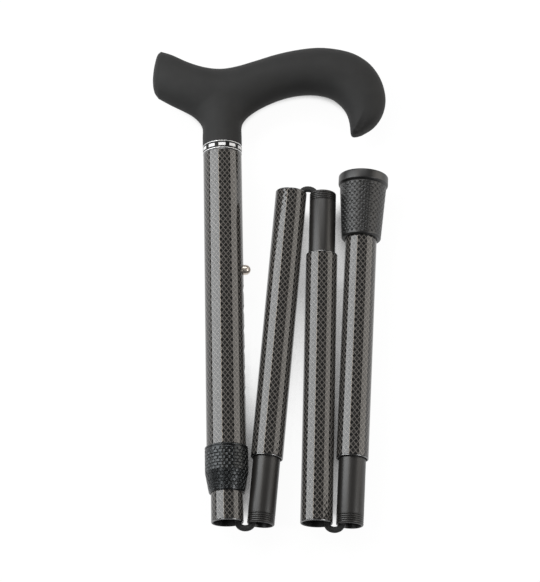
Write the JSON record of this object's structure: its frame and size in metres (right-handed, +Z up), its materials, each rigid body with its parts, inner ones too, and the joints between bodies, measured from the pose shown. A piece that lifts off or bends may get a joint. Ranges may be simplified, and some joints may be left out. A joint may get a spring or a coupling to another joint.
{
  "type": "folding cane",
  "caption": "Folding walking cane with a derby handle, height button, lattice-patterned tubes on an elastic cord and a rubber tip.",
  "frame": {"origin": "on the surface that the folded cane lies on, under the middle of its box", "axes": "+Y along the handle section towards the handle, +X from the handle section towards the folded sections, +Z up"},
  "size_m": [0.1409, 0.3016, 0.0296],
  "materials": {
    "soft_touch": "soft-touch matt coat over moulded plastic",
    "lattice_tube": "black tube with a fine grey diamond lattice under clear gloss",
    "black_ferrule": "satin black anodised",
    "rubber": "matt moulded rubber with a fine dimpled surface",
    "bright_rim": "polished",
    "collar_black": "gloss black",
    "inlay_white": "gloss white",
    "steel": "plain steel",
    "cord": "braided elastic cord",
    "inner_plastic": "moulded plastic, unpainted"
  },
  "bodies": {
    "handle_section": {"handle": "soft_touch", "handle_spigot": "inner_plastic", "collar_rim_upper": "bright_rim", "collar_band": "collar_black", "collar_inlays": "inlay_white", "collar_rim_lower": "bright_rim", "outer_tube": "lattice_tube", "adjuster_sleeve": "rubber", "lower_bush": "inner_plastic"},
    "inner_section": {"inner_tube": "lattice_tube", "upper_bush": "inner_plastic", "button_spring": "steel", "cord_anchor_upper": "inner_plastic", "anchor_pin_upper": "steel", "cord_knot_upper": "cord", "cord_run_1": "cord"},
    "button": {"height_button": "steel"},
    "cord_link_2": {"cord_run_2": "cord"},
    "section_2": {"tube_2": "lattice_tube", "ferrule_2": "black_ferrule", "ferrule_cap_2": "black_ferrule", "cord_bend_12": "cord"},
    "cord_link_3": {"cord_run_3": "cord"},
    "section_3": {"tube_3": "lattice_tube", "ferrule_3": "black_ferrule", "ferrule_cap_3": "black_ferrule", "cord_bend_23": "cord"},
    "cord_link_4": {"cord_run_4": "cord"},
    "section_4": {"tube_4": "lattice_tube", "ferrule_4": "black_ferrule", "ferrule_cap_4": "black_ferrule", "cord_bend_34": "cord", "cord_anchor_lower": "inner_plastic", "anchor_pin_lower": "steel", "cord_knot_lower": "cord", "rubber_tip": "rubber", "tip_washer": "steel"}
  },
  "joints": [
    {"name": "height", "type": "slide", "parent": "handle_section", "child": "inner_section", "axis": [0, -1, 0], "range_m": [0, 0.075]},
    {"name": "button_press", "type": "slide", "parent": "inner_section", "child": "button", "axis": [-1, 0, 0], "range_m": [0, 0.0045], "stiffness_N_per_m": 900, "springref_m": -0.002, "deforming": ["button_spring"]},
    {"name": "unfold", "type": "hinge", "parent": "inner_section", "child": "cord_link_2", "pos_m": [-0.01943, -0.14453, 0.0148], "axis": [0, 0, -1], "range_deg": [0, 173.8], "deforming": ["cord_bend_12", "cord_run_1"]},
    {"name": "plug", "type": "slide", "parent": "cord_link_2", "child": "section_2", "axis": [-0.108, -0.9942, 0], "range_m": [0, 0.0393], "deforming": ["cord_run_2"]},
    {"name": "fold_23", "type": "hinge", "parent": "section_2", "child": "cord_link_3", "pos_m": [0.02135, 0.05624, 0.0148], "axis": [0, 0, 1], "range_deg": [0, 176.4], "deforming": ["cord_bend_23"]},
    {"name": "plug_23", "type": "slide", "parent": "cord_link_3", "child": "section_3", "axis": [0.0454, 0.999, 0], "range_m": [0, 0.0393], "deforming": ["cord_run_3"]},
    {"name": "fold_34", "type": "hinge", "parent": "section_3", "child": "cord_link_4", "pos_m": [0.03101, -0.1464, 0.0148], "axis": [0, 0, -1], "range_deg": [0, 178.6], "deforming": ["cord_bend_34"]},
    {"name": "plug_34", "type": "slide", "parent": "cord_link_4", "child": "section_4", "axis": [-0.0698, -0.9976, 0], "range_m": [0, 0.0393], "deforming": ["cord_run_4"]}
  ],
  "couplings": [
    {"joint": "fold_23", "follows": "unfold", "ratio": 1.015},
    {"joint": "fold_34", "follows": "unfold", "ratio": 1.0276},
    {"joint": "plug_23", "follows": "plug", "ratio": 1},
    {"joint": "plug_34", "follows": "plug", "ratio": 1}
  ]
}
